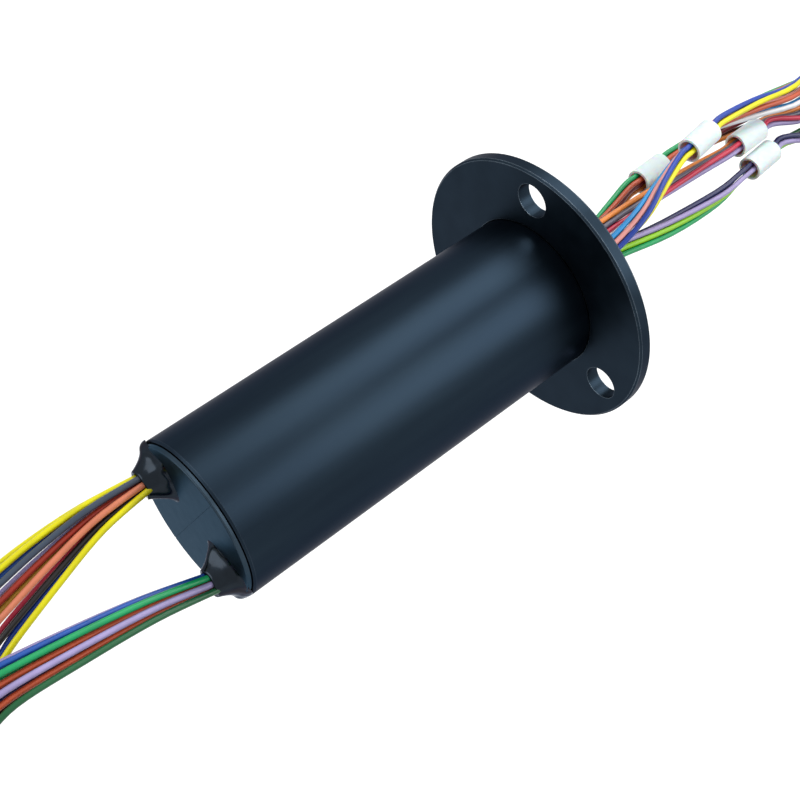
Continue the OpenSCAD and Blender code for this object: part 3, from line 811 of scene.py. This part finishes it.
@dataclass
class Fittings:
    """The CAD solids whose shape stays, each with its finish."""

    finishes: dict[str, Finish] = field(default_factory=lambda: {
        "housing_tube": HOUSING, "mounting_flange": FLANGE, "end_cap": CAP,
        "nose_potting": EPOXY,
        "bearing_plate": MOULDED, "rotor_shaft": MOULDED, "ring_carrier": MOULDED,
        "preload_washer": SPRING_STEEL, "front_retaining_ring": SPRING_STEEL,
        "shaft_circlip": SPRING_STEEL, "end_collar": SPRING_STEEL,
        "front_outer_race": BEARING_STEEL, "front_inner_race": BEARING_STEEL,
        "front_ball_set": BEARING_STEEL, "rear_outer_race": BEARING_STEEL,
        "rear_inner_race": BEARING_STEEL, "rear_ball_set": BEARING_STEEL,
        "front_ball_cage": BRASS, "rear_ball_cage": BRASS,
        "brush_board_upper": BOARD, "brush_board_lower": BOARD,
        "brush_wires_upper": GOLD, "brush_wires_lower": GOLD,
        "contact_rings_1": GOLD, "contact_rings_2": GOLD, "contact_rings_3": GOLD,
        "contact_rings_4": GOLD, "lead_sleeve_1": SLEEVE, "lead_sleeve_2": SLEEVE,
        "lead_sleeve_3": SLEEVE, "lead_sleeve_4": SLEEVE, "stator_tie_upper": TIE,
        "stator_tie_lower": TIE, "rotor_tie_1": TIE, "rotor_tie_2": TIE, "rotor_tie_3": TIE,
        "rotor_tie_4": TIE})

    def build(self, nodes: dict[str, bpy.types.Object], kit: EffectKit) -> None:
        """Dress the solids.

        Args:
            nodes: the solids by name.
            kit: the shared effects.
        """
        for name, finish in self.finishes.items():
            dress(nodes[name], finish.build(kit))
        LOG.info("fittings: %d solids dressed", len(self.finishes))


@dataclass
class Studio:
    """Camera, floor, surround and lamps."""

    eye: tuple[float, float, float] = (-0.110856, -0.103738, 0.137878)
    right: tuple[float, float, float] = (0.7422, -0.6682, -0.0513)
    up: tuple[float, float, float] = (0.5143, 0.5190, 0.6828)
    back: tuple[float, float, float] = (-0.4296, -0.5331, 0.7289)
    lens: float = 59.0733
    floor_z: float = -0.075

    def camera(self) -> None:
        """Make the camera and set it."""
        data = bpy.data.cameras.new("studio_camera")
        data.sensor_fit = "HORIZONTAL"
        data.sensor_width = 36.0
        data.lens = self.lens
        data.clip_start = 0.005
        data.clip_end = 20.0
        made = link_object("studio_camera", data)
        turn = Matrix((self.right, self.up, self.back)).transposed().to_4x4()
        made.matrix_world = Matrix.Translation(self.eye) @ turn
        bpy.context.scene.camera = made

    def lamp(self, name: str, place: tuple[float, float, float], aim: tuple[float, float, float],
             size: tuple[float, float], power: float, tint: tuple[int, int, int]) -> None:
        """Hang one soft lamp.

        Args:
            name: its name.
            place: where it is, in metres.
            aim: what it points at.
            size: its width and height, in metres.
            power: in watts.
            tint: its colour, as display values.
        """
        data = bpy.data.lights.new(name, "AREA")
        data.shape = "RECTANGLE"
        data.size, data.size_y = size
        data.energy = power
        data.color = linear(tint)[:3]
        made = link_object(name, data)
        made.location = place
        made.rotation_euler = (Vector(aim) - Vector(place)).to_track_quat("-Z", "Y").to_euler()

    def surround(self) -> None:
        """Make the world: white where it is seen or mirrored, dim as a light."""
        bpy.context.scene.view_settings.view_transform = "Standard"
        world = bpy.data.worlds.new("studio_surround")
        bpy.context.scene.world = world
        world.use_nodes = True
        nodes, links = world.node_tree.nodes, world.node_tree.links
        shown = self._seen(nodes, links)
        level = nodes.new("ShaderNodeMapRange")
        level.inputs["To Min"].default_value = 0.45
        level.inputs["To Max"].default_value = 1.0
        links.new(shown, level.inputs["Value"])
        nodes["Background"].inputs["Color"].default_value = (1, 1, 1, 1)
        links.new(level.outputs[0], nodes["Background"].inputs["Strength"])

    @staticmethod
    def _seen(nodes: bpy.types.Nodes, links: bpy.types.NodeLinks) -> bpy.types.NodeSocket:
        """Add what tells whether a ray is seen, mirrored or passed through.

        Args:
            nodes: nodes of the material or world.
            links: its links.

        Returns:
            A socket that is 1 for such a ray and 0 for others.
        """
        path = nodes.new("ShaderNodeLightPath")
        total = path.outputs["Is Camera Ray"]
        for label in ("Is Glossy Ray", "Is Transmission Ray"):
            either = nodes.new("ShaderNodeMath")
            either.operation = "MAXIMUM"
            links.new(total, either.inputs[0])
            links.new(path.outputs[label], either.inputs[1])
            total = either.outputs[0]
        return total

    def floor(self) -> None:
        """Lay the pale floor, which keeps the part's shadow."""
        bm = bmesh.new()
        bmesh.ops.create_grid(bm, x_segments=4, y_segments=4, size=2500.0)
        made = mesh_object("studio_floor", bm)
        made.location.z = self.floor_z
        material = bpy.data.materials.new("studio_floor_paint")
        material.use_nodes = True
        nodes, links = material.node_tree.nodes, material.node_tree.links
        shader = nodes["Principled BSDF"]
        shader.inputs["Roughness"].default_value = 0.9
        shader.inputs["Specular IOR Level"].default_value = 0.0
        speck = nodes.new("ShaderNodeTexNoise")
        speck.inputs["Scale"].default_value = 60.0
        paint = nodes.new("ShaderNodeMix")
        paint.data_type = "RGBA"
        paint.inputs[6].default_value = (0.27, 0.27, 0.27, 1)
        paint.inputs[7].default_value = (0.29, 0.29, 0.29, 1)
        links.new(speck.outputs["Fac"], paint.inputs[0])
        links.new(paint.outputs[2], shader.inputs["Base Color"])
        shader.inputs["Emission Strength"].default_value = 1.0
        seen = self._seen(nodes, links)
        glow = nodes.new("ShaderNodeMapRange")
        glow.inputs["To Max"].default_value = 0.9
        links.new(seen, glow.inputs["Value"])
        links.new(glow.outputs[0], shader.inputs["Emission Color"])
        dress(made, material)

    def lamps(self) -> None:
        """Hang the lamps."""
        here = Vector((-0.03, 0.0, 0.0))
        for name, way, far, size, power in (
                ("lamp_over", (0.56, 0.11, 0.87), 0.7, (0.42, 0.42), 2.7),
                ("lamp_front", (0.56, -0.70, 0.53), 0.7, (0.42, 0.42), 2.7),
                ("lamp_left", (-0.80, 0.35, 0.50), 0.8, (0.40, 0.40), 1.6)):
            self.lamp(name, tuple(here + Vector(way).normalized() * far), tuple(here), size, power,
                      (255, 255, 255))


def main() -> None:
    """Build the scene, the camera and the leads first."""
    logging.basicConfig(level=logging.INFO, format="%(name)s: %(message)s")
    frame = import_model()
    studio = Studio()
    studio.camera()
    kit = EffectKit()
    Leads().build(kit)
    for glue in both_glues():
        glue.build(kit)
    Fittings().build(frame["nodes"], kit)
    studio.surround()
    studio.floor()
    studio.lamps()


if __name__ == "__main__":
    main()
